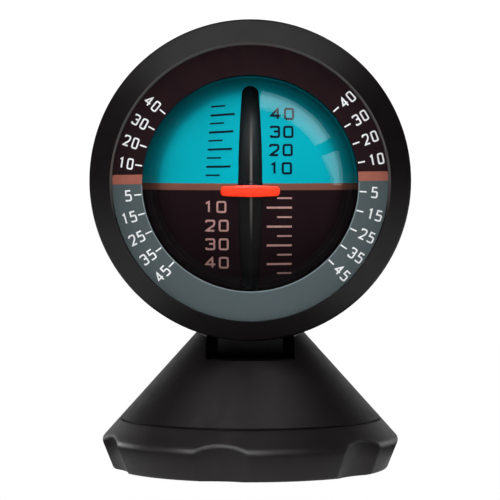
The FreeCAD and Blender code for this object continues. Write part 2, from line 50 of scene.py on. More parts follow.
# ---------------------------------------------------------------- places in the frame
joint_at = {joint["name"]: Vector(joint["pos_m"]) for joint in frame["joints"]}
ball_centre = joint_at["ball_pitch"]
ball_r = ball_centre.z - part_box("ball_lower_shell")[0].z
ring_low, ring_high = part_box("scale_ring")
ring_centre = (ring_low + ring_high) / 2
ring_outer = (ring_high.x - ring_low.x) / 2
ring_front_y = ring_low.y
RING_INNER = 24.67 * MM
RING_OVERLAP = 2.15 * MM      # width of the ring that the bezel covers
RING_TURN = math.radians(0.8) # the whole print sits this much anticlockwise

# ---------------------------------------------------------------- figures and marks
INK_RISE = 0.03 * MM          # print stands this much over the plastic
LAP_RISE = 0.001 * MM         # and rises by this much a step, so a stroke can cross itself
INK_STEP = 0.45 * MM          # longest step along a stroke
CORNER = 0.16                 # corner radius of a figure, of its height
CORNER_STEPS = 4              # steps round a corner
MITRE_LIMIT = 0.55            # keeps the tip of a sharp corner short

# Each figure in a unit square: the middle lines of its strokes, and whether each one closes.
GLYPHS = {
    "0": [([(0, 0), (1, 0), (1, 1), (0, 1)], True)],
    "1": [([(0.25, 0.84), (0.62, 1), (0.62, 0)], False)],
    "2": [([(0, 0.80), (0, 1), (1, 1), (1, 0.56), (0, 0), (1, 0)], False)],
    "3": [([(0, 0.86), (0, 1), (1, 1), (1, 0.54), (0.36, 0.54)], False),
          ([(0.9, 0.54), (1, 0.54), (1, 0), (0, 0), (0, 0.16)], False)],
    "4": [([(0.75, 0), (0.75, 1), (-0.07, 0.31), (1.10, 0.31)], False)],
    "5": [([(0.98, 1), (0.08, 1), (0.03, 0.58), (1, 0.58), (1, 0), (0, 0), (0, 0.10)], False)],
}
# Corners of a figure's first stroke that stay sharp, by their place in its list.
SHARP = {"1": (0, 1, 2), "2": (0, 4, 5), "3": (0, 4), "4": (0, 1, 2, 3), "5": (0, 1, 2, 6)}

# The height is between the middles of a figure's outer strokes, and the width a share of it.
Lettering = namedtuple("Lettering", "height width gap stroke")


def rounded(points, closed, radius, sharp=()):
    """The polyline with its corners rounded, apart from the sharp ones."""
    count = len(points)
    out = []
    for index, point in enumerate(points):
        corner = Vector(point)
        at_end = not closed and index in (0, count - 1)
        if at_end or index in sharp:
            out.append(corner)
            continue
        before = Vector(points[index - 1]) - corner
        after = Vector(points[(index + 1) % count]) - corner
        reach = min(radius, before.length / 2, after.length / 2)
        start = corner + before.normalized() * reach
        end = corner + after.normalized() * reach
        for step in range(CORNER_STEPS + 1):
            t = step / CORNER_STEPS
            out.append(start * (1 - t) ** 2 + corner * 2 * t * (1 - t) + end * t ** 2)
    return out


def divided(points, closed, longest):
    """The polyline with extra points, so that no piece is longer than asked."""
    out = []
    ends = points[1:] + (points[:1] if closed else [])
    for a, b in zip(points, ends):
        pieces = max(1, math.ceil((b - a).length / longest))
        out.extend(a.lerp(b, k / pieces) for k in range(pieces))
    if not closed:
        out.append(points[-1])
    return out


def ribbon(points, closed, width):
    """Both edges of a stroke of even width along a polyline, mitred at its corners."""
    count = len(points)
    left, right = [], []
    for index, point in enumerate(points):
        before = points[index - 1] if closed or index > 0 else None
        after = points[(index + 1) % count] if closed or index < count - 1 else None
        a = (point - before).normalized() if before is not None else None
        b = (after - point).normalized() if after is not None else None
        a = b if a is None else a
        b = a if b is None else b
        side_a, side_b = Vector((-a.y, a.x)), Vector((-b.y, b.x))
        middle = (side_a + side_b).normalized()
        offset = middle * (width / 2 / max(middle.dot(side_a), MITRE_LIMIT))
        left.append(point + offset)
        right.append(point - offset)
    return left, right


def figure_strokes(text, centre, lettering, turn):
    """Strokes of a number: middle lines, placed and turned as one word."""
    cell = lettering.width * lettering.height
    pitch = cell + lettering.gap
    length = len(text) * cell + (len(text) - 1) * lettering.gap
    along = Vector((math.cos(turn), math.sin(turn)))
    up = Vector((-along.y, along.x))
    strokes = []
    for index, sign in enumerate(text):
        x0 = index * pitch - length / 2
        for number, (points, closed) in enumerate(GLYPHS[sign]):
            sharp = SHARP.get(sign, ()) if number == 0 else ()
            drawn = [(x0 + u * cell, (v - 0.5) * lettering.height) for u, v in points]
            line = rounded(drawn, closed, CORNER * lettering.height, sharp)
            placed = [centre + along * p.x + up * p.y for p in line]
            strokes.append((placed, closed, lettering.stroke))
    return strokes


def tick_stroke(middle, length, turn, stroke):
    """One scale mark."""
    half = Vector((math.cos(turn), math.sin(turn))) * (length / 2)
    return ([middle - half, middle + half], False, stroke)


def printed(name, strokes, place, body, finish):
    """A thin layer of ink: every stroke as a strip of faces laid on a surface."""
    mesh = bmesh.new()
    for points, closed, width in strokes:
        line = divided(points, closed, INK_STEP)
        rows = []
        for step, edges in enumerate(zip(*ribbon(line, closed, width))):
            rise = INK_RISE + LAP_RISE * step
            rows.append([mesh.verts.new(place(point, rise)) for point in edges])
        follows = rows[1:] + (rows[:1] if closed else [])
        for (a, b), (c, d) in zip(rows, follows):
            mesh.faces.new((a, b, d, c))
    data = bpy.data.meshes.new(name)
    mesh.to_mesh(data)
    mesh.free()
    piece = bpy.data.objects.new(name, data)
    bpy.context.scene.collection.objects.link(piece)
    data.materials.append(finish)
    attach(piece, body)
    return piece


def on_ball(point, rise):
    """Place over the front of the ball for a point seen from the front."""
    r = ball_r + rise
    depth = math.sqrt(r * r - point.x ** 2 - point.y ** 2)
    return ball_centre + Vector((point.x, -depth, point.y))


def on_ring(point, rise):
    """Place over the scale ring for a point seen from the front."""
    return Vector((ring_centre.x + point.x, ring_front_y - rise, ring_centre.z + point.y))


# ---------------------------------------------------------------- node materials
MIX_A, MIX_B, MIX_RESULT = 6, 7, 2    # colour sockets of a Mix node
NUMBER_A, NUMBER_B = 2, 3             # and its number sockets
TOOL_MARKS = 12                       # turned marks are this much longer than they are wide
TONE_PATCH = 9 * MM                   # size of the slow tone changes of moulded plastic
SHEEN_PATCH = 3 * MM                  # and of the changes of its sheen


def map_range(tree, value, low, high, source):
    """A value brought from its own range to another."""
    ranger = tree.nodes.new("ShaderNodeMapRange")
    ranger.inputs["From Min"].default_value = source[0]
    ranger.inputs["From Max"].default_value = source[1]
    ranger.inputs["To Min"].default_value = low
    ranger.inputs["To Max"].default_value = high
    tree.links.new(value, ranger.inputs["Value"])
    return ranger.outputs["Result"]


class Finish:
    """A node material around one Principled shader, with patterns in the part's own frame."""

    def __init__(self, name, colour, roughness, metallic=0.0):
        self.material = bpy.data.materials.new(name)
        self.material.use_nodes = True
        self.tree = self.material.node_tree
        self.shader = self.tree.nodes["Principled BSDF"]
        self.output = self.tree.nodes["Material Output"]
        self.coordinates = self.tree.nodes.new("ShaderNodeTexCoord")
        self.shader.inputs["Base Color"].default_value = (*colour, 1)
        self.shader.inputs["Roughness"].default_value = roughness
        self.shader.inputs["Metallic"].default_value = metallic

    def node(self, kind, **settings):
        """A new node with its settings."""
        node = self.tree.nodes.new("ShaderNode" + kind)
        for key, value in settings.items():
            setattr(node, key, value)
        return node

    def link(self, a, b):
        """A link from an output to an input."""
        self.tree.links.new(a, b)

    def gloss(self, level):
        """Strength of the surface's reflections; plain plastic has 0.5."""
        self.shader.inputs["Specular IOR Level"].default_value = level

    def paint(self, colour):
        """A colour socket as the base colour."""
        self.link(colour, self.shader.inputs["Base Color"])

    def noise(self, size, detail=3.0, stretch=(1, 1, 1)):
        """Noise of about the given size in metres."""
        mapping = self.node("Mapping")
        mapping.inputs["Scale"].default_value = [s / size for s in stretch]
        noise = self.node("TexNoise")
        noise.inputs["Scale"].default_value = 1
        noise.inputs["Detail"].default_value = detail
        self.link(self.coordinates.outputs["Object"], mapping.inputs["Vector"])
        self.link(mapping.outputs["Vector"], noise.inputs["Vector"])
        return noise.outputs["Fac"]

    def ranged(self, value, low, high, source=(0.3, 0.7)):
        """A value brought from its own range to another; noise mostly fills 0.3 to 0.7."""
        return map_range(self.tree, value, low, high, source)

    def mottle(self, size, detail=3.0):
        """Patches between 0 and 1, of about the given size."""
        return self.ranged(self.noise(size, detail), 0, 1)

    def mixed(self, factor, a, b):
        """Two colours, or colour sockets, mixed by a factor."""
        mix = self.node("Mix", data_type="RGBA")
        self.link(factor, mix.inputs["Factor"])
        for value, key in ((a, MIX_A), (b, MIX_B)):
            if isinstance(value, (tuple, list)):
                mix.inputs[key].default_value = (*value, 1)
            else:
                self.link(value, mix.inputs[key])
        return mix.outputs[MIX_RESULT]

    def tint(self, dark, light, size, detail=3.0):
        """Slow change of the base colour over the surface."""
        self.paint(self.mixed(self.mottle(size, detail), dark, light))

    def roughen(self, low, high, size, stretch=(1, 1, 1)):
        """Slow change of the roughness over the surface."""
        value = self.ranged(self.noise(size, 4.0, stretch), low, high)
        self.link(value, self.shader.inputs["Roughness"])

    def relief(self, value, depth, edge=0.0):
        """Bump of a depth in metres, over edges rounded to a radius."""
        bump = self.node("Bump")
        bump.inputs["Distance"].default_value = depth
        bump.inputs["Strength"].default_value = 1
        self.link(value, bump.inputs["Height"])
        if edge:
            bevel = self.node("Bevel", samples=4)
            bevel.inputs["Radius"].default_value = edge
            self.link(bevel.outputs["Normal"], bump.inputs["Normal"])
        self.link(bump.outputs["Normal"], self.shader.inputs["Normal"])

    def math(self, operation, *values):
        """Result of a sum on sockets and numbers."""
        sum_node = self.node("Math", operation=operation)
        for socket, value in zip(sum_node.inputs, values):
            if isinstance(value, (int, float)):
                socket.default_value = value
            else:
                self.link(value, socket)
        return sum_node.outputs[0]

    def seen_from(self, centre):
        """How far a point is above, and to the right of, a centre."""
        split = self.node("SeparateXYZ")
        self.link(self.coordinates.outputs["Object"], split.inputs["Vector"])
        rise = self.math("SUBTRACT", split.outputs["Z"], centre.z)
        across = self.math("SUBTRACT", split.outputs["X"], centre.x)
        return rise, across

    def distance(self, rise, across):
        """Distance from the axis that two sockets are measured from."""
        squares = self.math("MULTIPLY", rise, rise), self.math("MULTIPLY", across, across)
        return self.math("SQRT", self.math("ADD", *squares))


def moulded(name, dark, light, roughness, grain=0.22 * MM, depth=0.006 * MM, edge=0.12 * MM,
            gloss=0.5):
    """Moulded plastic: fine spark-eroded grain, slow tone changes, softened edges."""
    finish = Finish(name, dark, roughness)
    finish.gloss(gloss)
    finish.tint(dark, light, TONE_PATCH)
    finish.roughen(roughness - 0.04, roughness + 0.05, SHEEN_PATCH)
    finish.relief(finish.noise(grain, detail=2.0), depth, edge)
    return finish.material


def turned_metal(name, dark, light, roughness, axis):
    """Turned metal with fine tool marks around an axis."""
    finish = Finish(name, dark, roughness, metallic=1.0)
    finish.tint(dark, light, size=2.5 * MM)
    stretch = [TOOL_MARKS if letter == axis else 1 for letter in "XYZ"]
    finish.roughen(roughness - 0.06, roughness + 0.1, 1.2 * MM, stretch)
    finish.relief(finish.noise(0.5 * MM, 2.0, stretch), depth=0.004 * MM, edge=0.06 * MM)
    return finish.material


def ink(name, dark, light, gloss=0.5):
    """Screen-printed ink, slightly uneven in cover."""
    finish = Finish(name, light, roughness=0.5)
    finish.gloss(gloss)
    finish.tint(dark, light, size=0.5 * MM, detail=4.0)
    finish.relief(finish.noise(0.12 * MM, detail=2.0), depth=0.003 * MM)
    return finish.material


# ---------------------------------------------------------------- the ring's printed fields and painted edge highlight
# Colours are linear, here and below.
DARK_FIELD = (0.0120, 0.0050, 0.0070)
DARK_FIELD_WARM = (0.0160, 0.0066, 0.0083)
GREY_FIELD = (0.073, 0.096, 0.098)
GREY_FIELD_BLUE = (0.0775, 0.098, 0.108)
BAR_BROWN = (0.310, 0.099, 0.072)
BAR_BROWN_LIGHT = (0.340, 0.120, 0.086)
BAR_RISE = 1.27 * MM          # middle of the bars, over the ring's middle
BAR_HEIGHT = 2.16 * MM
# A painted highlight along the ring's inner edge, below the bars:
RING_EDGE_PAINTED_HIGHLIGHT = (0.20, 0.25, 0.27)
RING_EDGE_HIGHLIGHT_WIDTH = 0.22 * MM          # its width


def ring_print():
    """The scale ring: dark above, grey below, a brown bar at each side of the middle, and a painted
    highlight on the lower half of its inner edge.
    """
    finish = Finish("ring_print", DARK_FIELD, roughness=0.45)
    rise, across = finish.seen_from(ring_centre)
    level = finish.math("MULTIPLY_ADD", across, -math.tan(RING_TURN), rise)

    def above(limit):
        return finish.math("GREATER_THAN", level, limit)

    mottle = finish.mottle(size=2.2 * MM, detail=4.0)
    upper = finish.mixed(mottle, DARK_FIELD, DARK_FIELD_WARM)
    lower = finish.mixed(mottle, GREY_FIELD, GREY_FIELD_BLUE)
    bars = finish.mixed(mottle, BAR_BROWN, BAR_BROWN_LIGHT)
    half = BAR_HEIGHT / 2
    below_top = finish.mixed(above(BAR_RISE + half), bars, upper)
    printed_colour = finish.mixed(above(BAR_RISE - half), lower, below_top)
    # Painted highlight along the lower half of the ring's inner edge.
    edge_highlight_band = finish.math("LESS_THAN", finish.distance(rise, across), RING_INNER + RING_EDGE_HIGHLIGHT_WIDTH)
    edge_highlight_mask = finish.math("MULTIPLY", edge_highlight_band, finish.math("SUBTRACT", 1, above(0)))
    finish.paint(finish.mixed(edge_highlight_mask, printed_colour, RING_EDGE_PAINTED_HIGHLIGHT))
    finish.gloss(0.2)
    finish.roughen(0.42, 0.52, size=1.5 * MM)
    finish.relief(finish.noise(0.2 * MM, detail=2.0), depth=0.004 * MM, edge=0.08 * MM)
    return finish.material


# ---------------------------------------------------------------- the clear dome
DOME_IOR = 1.25
DOME_CLEAR = (0.975, 0.99, 0.99)
DOME_CLEARER = (0.99, 1.0, 1.0)


def clear_dome():
    """Clear polished plastic that lets the lamps through to the ball."""
    finish = Finish("clear_plastic", (1, 1, 1), roughness=0.0)
    finish.shader.inputs["Transmission Weight"].default_value = 1.0
    finish.shader.inputs["IOR"].default_value = DOME_IOR
    finish.tint(DOME_CLEAR, DOME_CLEARER, size=8 * MM)
    through = finish.node("BsdfTransparent")
    path = finish.node("LightPath")
    mix = finish.node("MixShader")
    finish.link(path.outputs["Is Shadow Ray"], mix.inputs["Fac"])
    finish.link(finish.shader.outputs[0], mix.inputs[1])
    finish.link(through.outputs[0], mix.inputs[2])
    finish.link(mix.outputs[0], finish.output.inputs["Surface"])
    return finish.material


# ---------------------------------------------------------------- the yoke and its crest
YOKE_BLACK = (0.0090, 0.0084, 0.0086)
YOKE_BLACK_LIGHT = (0.0120, 0.0112, 0.0115)
YOKE_LOW_PAINTED_LIT = (0.0180, 0.0172, 0.0175)   # a lighter copy for its lower half: painted light
YOKE_LOW_PAINTED_LIT_LIGHT = (0.0215, 0.0206, 0.0210)
YOKE_FADE = (-4.0 * MM, -2.0 * MM)    # where the painted lighter half ends, behind the bar
# A painted highlight along the yoke's crest:
CREST_PAINTED_HIGHLIGHT = (0.20, 0.19, 0.18)
CREST_MIDDLE = Vector((0.2, 0, 2)) * MM       # middle of the painted highlight line, from the gimbal's
CREST_SIDES = (0.132 * MM, 0.33 * MM)         # it fades to the sides between these
CREST_ENDS = (5 * MM, 14.5 * MM)              # and to its ends between these
CREST_LOW_SHARE = 0.82                        # strength of its lower half


def yoke_plastic():
    """Black yoke with a painted highlight along its crest where the ball's slot shows it most, and
    a lighter lower half that is painted light.
    """
    finish = Finish("yoke_black", YOKE_BLACK, roughness=0.4)
    mottle = finish.mottle(size=3 * MM)
    upper = finish.mixed(mottle, YOKE_BLACK, YOKE_BLACK_LIGHT)
    # The lower half takes the lighter copy: painted light.
    lower = finish.mixed(mottle, YOKE_LOW_PAINTED_LIT, YOKE_LOW_PAINTED_LIT_LIGHT)
    rise, across = finish.seen_from(ball_centre + CREST_MIDDLE)
    plain = finish.mixed(finish.ranged(rise, 1, 0, YOKE_FADE), upper, lower)
    # Painted highlight along the crest, fading to its sides, its ends and its lower half.
    near = finish.ranged(finish.math("ABSOLUTE", across), 1, 0, CREST_SIDES)
    middle = finish.ranged(finish.math("ABSOLUTE", rise), 1, 0, CREST_ENDS)
    crest_highlight_fall = finish.ranged(rise, CREST_LOW_SHARE, 1, (-CREST_ENDS[0], 0))
    share = finish.math("MULTIPLY", near, finish.math("MULTIPLY", middle, crest_highlight_fall))
    finish.paint(finish.mixed(share, plain, CREST_PAINTED_HIGHLIGHT))
    finish.roughen(0.36, 0.46, size=2 * MM)
    finish.relief(finish.noise(0.25 * MM, detail=2.0), depth=0.004 * MM, edge=0.1 * MM)
    return finish.material


# ---------------------------------------------------------------- the bezel and its edge
BEZEL_BLACK = (0.0062, 0.0042, 0.0047)
BEZEL_BLACK_LIGHT = (0.0086, 0.0061, 0.0067)
# A painted highlight along the window's edge:
BEZEL_EDGE_PAINTED_HIGHLIGHT = (0.155, 0.130, 0.125)
EDGE_OUT = 0.25 * MM                  # middle of the painted highlight, outside the window
EDGE_SIDES = (0.165 * MM, 0.33 * MM)  # it fades to both sides between these
EDGE_UPPER = (-8 * MM, 2 * MM)        # and comes in between these heights


def bezel_plastic():
    """Satin black, with a painted highlight on the upper half of the window's edge."""
    finish = Finish("bezel_black", BEZEL_BLACK, roughness=0.36)
    plain = finish.mixed(finish.mottle(TONE_PATCH), BEZEL_BLACK, BEZEL_BLACK_LIGHT)
    rise, across = finish.seen_from(ring_centre)
    window_r = ring_outer - RING_OVERLAP
    out = finish.math("SUBTRACT", finish.distance(rise, across), window_r + EDGE_OUT)
    near = finish.ranged(finish.math("ABSOLUTE", out), 1, 0, EDGE_SIDES)
    upper = finish.ranged(rise, 0, 1, EDGE_UPPER)
    # Painted highlight on the window's edge, on its upper half only.
    finish.paint(finish.mixed(finish.math("MULTIPLY", near, upper), plain, BEZEL_EDGE_PAINTED_HIGHLIGHT))
    finish.roughen(0.32, 0.40, SHEEN_PATCH)
    finish.relief(finish.noise(0.22 * MM, detail=2.0), depth=0.006 * MM, edge=0.12 * MM)
    return finish.material


# ---------------------------------------------------------------- finish of each node
BLACK = (0.0108, 0.0076, 0.0083)
BLACK_LIGHT = (0.0148, 0.0108, 0.0118)

black_plastic = moulded("black_plastic", BLACK, BLACK_LIGHT, roughness=0.42)
base_plastic = moulded("base_plastic", BLACK, BLACK_LIGHT, roughness=0.40, edge=1.2 * MM)
black_rubber = moulded("black_rubber", (0.003, 0.003, 0.003), (0.005, 0.005, 0.005), roughness=0.75)
foam = moulded("foam", (0.03, 0.03, 0.03), (0.055, 0.055, 0.055), roughness=0.9,
               grain=0.5 * MM, depth=0.08 * MM)
slide_plastic = moulded("slide_plastic", (0.004, 0.004, 0.004), (0.006, 0.006, 0.006),
                        roughness=0.5)
teal = moulded("teal_plastic", (0.001, 0.38, 0.47), (0.001, 0.41, 0.50), roughness=0.5,
               grain=0.3 * MM, depth=0.002 * MM, gloss=0.04)
ball_black = moulded("ball_black", (0.0135, 0.0070, 0.0088), (0.0165, 0.0090, 0.0108),
                     roughness=0.5, grain=0.3 * MM, depth=0.002 * MM, gloss=0.05)
band_brown = moulded("band_brown", (0.185, 0.070, 0.052), (0.235, 0.092, 0.062), roughness=0.5,
                     gloss=0.2)
orange = moulded("orange_plastic", (1.0, 0.036, 0.010), (1.0, 0.048, 0.015), roughness=0.30,
                 grain=0.3 * MM, depth=0.003 * MM, edge=1.1 * MM, gloss=1.0)
brass = turned_metal("brass", (0.62, 0.44, 0.18), (0.74, 0.55, 0.25), roughness=0.28, axis="Y")
steel = turned_metal("steel", (0.50, 0.50, 0.51), (0.60, 0.60, 0.60), roughness=0.32, axis="Y")
pin_steel = turned_metal("pin_steel", (0.48, 0.48, 0.49), (0.58, 0.58, 0.58), roughness=0.26,
                         axis="X")
dark_steel = turned_metal("dark_steel", (0.030, 0.030, 0.032), (0.05, 0.05, 0.052),
                          roughness=0.38, axis="Y")
lead_grey = moulded("lead_grey", (0.16, 0.16, 0.17), (0.24, 0.24, 0.25), roughness=0.55,
                    grain=0.8 * MM, depth=0.03 * MM)
dark_ink = ink("dark_ink", (0.0015, 0.005, 0.014), (0.003, 0.009, 0.024), gloss=0.1)
pink_ink = ink("pink_ink", (0.46, 0.24, 0.22), (0.60, 0.34, 0.32))
yoke_painted_light = yoke_plastic()
white_ink = ink("white_ink", (0.80, 0.82, 0.84), (0.92, 0.93, 0.94))

FINISHES = {
    "base_body": base_plastic,
    "stand_cone": black_plastic,
    "case_shell": black_plastic,
    "front_bezel": bezel_plastic(),
    "adhesive_pad": foam,
    "glide_ring": slide_plastic,
    "friction_washers": black_rubber,
    "lens_gasket": black_rubber,
    "thread_insert": brass,
    "roll_bushes": brass,
    "trunnion_bushes": brass,
    "swivel_screw": steel,
    "wave_washer": steel,
    "shaft_washer": steel,
    "shaft_nut": steel,
    "shaft_clip": steel,
    "tilt_pin": pin_steel,
    "pitch_pins": pin_steel,
    "pivot_shaft": dark_steel,
    # The collar takes the yoke's colours, with its painted crest highlight.
    "pointer_collar": yoke_painted_light,
    "scale_ring": ring_print(),
    "dome_lens": clear_dome(),
    "pointer_bar": orange,
    "roll_yoke": yoke_painted_light,
    "ball_upper_shell": teal,
    "ball_lower_shell": ball_black,
    "horizon_band": band_brown,
    "ball_weights": lead_grey,
}
for node_name, node_object in frame["nodes"].items():
    node_object.data.materials.clear()
    node_object.data.materials.append(FINISHES[node_name])

# ---------------------------------------------------------------- print on the ball
# Places run right and up from the ball's middle, as seen from the front.  A place at 0 degrees
# is followed by its change for each degree of the scale.
BALL_DEGREES = range(5, 50, 5)
WIDE_MARK = 0.46 * MM         # marks with a number
FINE_MARK = 0.37 * MM         # marks between them
UPPER_LONG = 5.45 * MM
UPPER_SHORT = 3.2 * MM
UPPER_MARKS_X, UPPER_MARKS_DX = -10.15 * MM, 0.030 * MM      # their left ends
UPPER_MARKS_Z, UPPER_MARKS_DZ = 0.93 * MM, 0.3875 * MM
UPPER_MARKS_TURN = 0.1        # degrees anticlockwise, for each degree of the scale
UPPER_WORDS_X, UPPER_WORDS_DX = 6.50 * MM, 0.018 * MM        # their middles
UPPER_WORDS_Z, UPPER_WORDS_DZ = 0.35 * MM, 0.4075 * MM
UPPER_LETTERING = Lettering(height=2.26 * MM, width=0.80, gap=1.20 * MM, stroke=0.50 * MM)
LOWER_LONG = 5.6 * MM
LOWER_SHORT = 3.3 * MM
LOWER_MARKS_X = 9.3 * MM                                     # their right ends
LOWER_MARKS_Z, LOWER_MARKS_DZ = -0.10 * MM, -0.425 * MM
LOWER_WORDS_X, LOWER_WORDS_DZ = -7.45 * MM, -0.42 * MM
LOWER_TEN_X = -7.95 * MM      # the 1 of 10 is narrow, so that word starts at the same margin
LOWER_LETTERING = UPPER_LETTERING._replace(stroke=0.42 * MM)


def upper_ball_print():
    """Dark scale above the horizon: marks on the left, numbers on the right."""
    strokes = []
    for degrees in BALL_DEGREES:
        numbered = degrees % 10 == 0
        length = UPPER_LONG if numbered else UPPER_SHORT
        width = WIDE_MARK if numbered else FINE_MARK
        left = UPPER_MARKS_X + UPPER_MARKS_DX * degrees
        height = UPPER_MARKS_Z + UPPER_MARKS_DZ * degrees
        turn = math.radians(UPPER_MARKS_TURN * degrees)
        strokes.append(tick_stroke(Vector((left + length / 2, height)), length, turn, width))
        if numbered:
            across = UPPER_WORDS_X + UPPER_WORDS_DX * degrees
            centre = Vector((across, UPPER_WORDS_Z + UPPER_WORDS_DZ * degrees))
            strokes += figure_strokes(str(degrees), centre, UPPER_LETTERING, turn=0)
    return strokes


def lower_ball_print():
    """Pale scale below the horizon: numbers on the left, marks on the right."""
    strokes = []
    for degrees in BALL_DEGREES:
        numbered = degrees % 10 == 0
        length = LOWER_LONG if numbered else LOWER_SHORT
        width = WIDE_MARK if numbered else FINE_MARK
        height = LOWER_MARKS_Z + LOWER_MARKS_DZ * degrees
        middle = Vector((LOWER_MARKS_X - length / 2, height))
        strokes.append(tick_stroke(middle, length, 0, width))
        if numbered:
            across = LOWER_TEN_X if degrees == 10 else LOWER_WORDS_X
            centre = Vector((across, LOWER_WORDS_DZ * degrees))
            strokes += figure_strokes(str(degrees), centre, LOWER_LETTERING, turn=0)
    return strokes


upper_print = printed("upper_ball_print", upper_ball_print(), on_ball, "ball", dark_ink)
lower_print = printed("lower_ball_print", lower_ball_print(), on_ball, "ball", pink_ink)

# ---------------------------------------------------------------- print on the ring
RING_DEGREES = 40, 30, 20, 10, -5, -15, -25, -35, -45
RING_MARK_START = 24.95 * MM
RING_MARK_LENGTH = 1.6 * MM
RING_MARK_WIDTH = 0.33 * MM
RING_LETTERING = Lettering(height=2.22 * MM, width=0.50, gap=0.90 * MM, stroke=0.37 * MM)
# How far out the middle of a number is, by its side (1 right, -1 left) and its count of figures.
WORD_R = {
    (1, 2): 29.2 * MM,
    (-1, 2): 28.7 * MM,
    (1, 1): 28.4 * MM,
    (-1, 1): 27.9 * MM,
}


def ring_mark(degrees, side):
    """One mark with its number, on the right (1) or left (-1) of the ring."""
    turn = side * math.radians(degrees) + RING_TURN
    out = Vector((math.cos(turn), math.sin(turn))) * side
    middle = out * (RING_MARK_START + RING_MARK_LENGTH / 2)
    text = str(abs(degrees))
    centre = out * WORD_R[side, len(text)]
    return [
        tick_stroke(middle, RING_MARK_LENGTH, turn, RING_MARK_WIDTH),
        *figure_strokes(text, centre, RING_LETTERING, turn),
    ]


ring_strokes = []
for side in (-1, 1):
    for degrees in RING_DEGREES:
        ring_strokes += ring_mark(degrees, side)
ring_marks = printed("ring_scale_print", ring_strokes, on_ring, "head", white_ink)

# ---------------------------------------------------------------- floor and world
FLOOR_RADIUS = 6.0
FLOOR_SIDES = 96
# Glow of the floor as the part sees it, by distance from the part's middle: a painted shadow ring
# close round the part, and painted light beyond it that fades further out.
FLOOR_PAINTED_LIGHT_AND_SHADOW = [(0, 0.48), (0.038, 0.48), (0.042, 0.00), (0.054, 0.00), (0.078, 0.65), (0.18, 0.50),
               (0.60, 0.10)]
FLOOR_GLOW = 1.0              # as the camera sees it, near the part
FLOOR_FAR_GLOW = 1.02         # and far from it
FLOOR_BLEND = (0.12, 0.6)     # distances between which one becomes the other
# The world is a white backdrop to look at.  The part is lit by a glowing wall behind it, in a
# dim room.  Directions are measured as shares of their length.
BACKDROP_GLOW = 1.05
ROOM_LEFT = 0.06
ROOM_RIGHT = 0.01
ROOM_SIDES = (-0.8, 0.8)      # directions between which its glow goes from left to right
WALL_GLOW = 0.5
WALL_BACK = (0.35, 0.8)       # directions between which the wall comes in, behind the part
WALL_TOP = (0.3, 0.6)         # and between which it goes out again, upwards


def stage_floor(receivers):
    """Plain white floor, less bright in reflections than to look at; in reflections it has a
    painted shadow ring round the part and painted light beyond.
    """
    mesh = bmesh.new()
    bmesh.ops.create_circle(mesh, cap_ends=True, segments=FLOOR_SIDES, radius=FLOOR_RADIUS)
    data = bpy.data.meshes.new("floor")
    mesh.to_mesh(data)
    mesh.free()
    floor = bpy.data.objects.new("floor", data)
    bpy.context.scene.collection.objects.link(floor)
    finish = Finish("floor_white", (0.0, 0.0, 0.0), roughness=0.9)
    finish.gloss(0.0)
    finish.shader.inputs["Emission Color"].default_value = (1, 1, 1, 1)
    distance = finish.node("VectorMath", operation="LENGTH")
    finish.link(finish.coordinates.outputs["Object"], distance.inputs[0])
    far = distance.outputs["Value"]
    # Painted shadow and light, by distance from the part, in the glow the part sees.
    ramp = finish.node("ValToRGB")
    ramp.color_ramp.interpolation = "EASE"
    stops = ramp.color_ramp.elements
    reach = FLOOR_PAINTED_LIGHT_AND_SHADOW[-1][0]
    for radius, _ in FLOOR_PAINTED_LIGHT_AND_SHADOW[1:-1]:
        stops.new(radius / reach)
    for stop, (_, tone) in zip(stops, FLOOR_PAINTED_LIGHT_AND_SHADOW):
        stop.color = (tone, tone, tone, 1)
    finish.link(finish.ranged(far, 0, 1, (0, reach)), ramp.inputs["Fac"])
    seen = finish.ranged(far, FLOOR_GLOW, FLOOR_FAR_GLOW, FLOOR_BLEND)
    path = finish.node("LightPath")
    strength = finish.node("Mix", data_type="FLOAT")
    finish.link(path.outputs["Is Camera Ray"], strength.inputs["Factor"])
    finish.link(ramp.outputs["Color"], strength.inputs[NUMBER_A])
    finish.link(seen, strength.inputs[NUMBER_B])
    finish.link(strength.outputs[0], finish.shader.inputs["Emission Strength"])
    data.materials.append(finish.material)
    floor.light_linking.receiver_collection = receivers


def studio_world():
    """White to look at; lights the part with a white wall behind and dim surroundings."""
    world = bpy.data.worlds.new("studio")
    bpy.context.scene.world = world
    world.use_nodes = True
    tree = world.node_tree
    tree.nodes.clear()

    def node(kind):
        return tree.nodes.new("ShaderNode" + kind)

    split = node("SeparateXYZ")
    tree.links.new(node("TexCoord").outputs["Generated"], split.inputs[0])
    behind = map_range(tree, split.outputs["Y"], 0, WALL_GLOW, WALL_BACK)
    below_top = map_range(tree, split.outputs["Z"], 1, 0, WALL_TOP)
    room = map_range(tree, split.outputs["X"], ROOM_LEFT, ROOM_RIGHT, ROOM_SIDES)
    strength = node("Math")
    strength.operation = "MULTIPLY_ADD"
    for value, socket in zip((behind, below_top, room), strength.inputs):
        tree.links.new(value, socket)
    felt = node("Background")
    tree.links.new(strength.outputs[0], felt.inputs["Strength"])
    seen = node("Background")
    seen.inputs["Color"].default_value = (1, 1, 1, 1)
    seen.inputs["Strength"].default_value = BACKDROP_GLOW
    mix = node("MixShader")
    tree.links.new(node("LightPath").outputs["Is Camera Ray"], mix.inputs["Fac"])
    tree.links.new(felt.outputs[0], mix.inputs[1])
    tree.links.new(seen.outputs[0], mix.inputs[2])
    tree.links.new(mix.outputs[0], node("OutputWorld").inputs["Surface"])


# ---------------------------------------------------------------- lamps
dome_centre = Vector((0, 0, ring_centre.z))


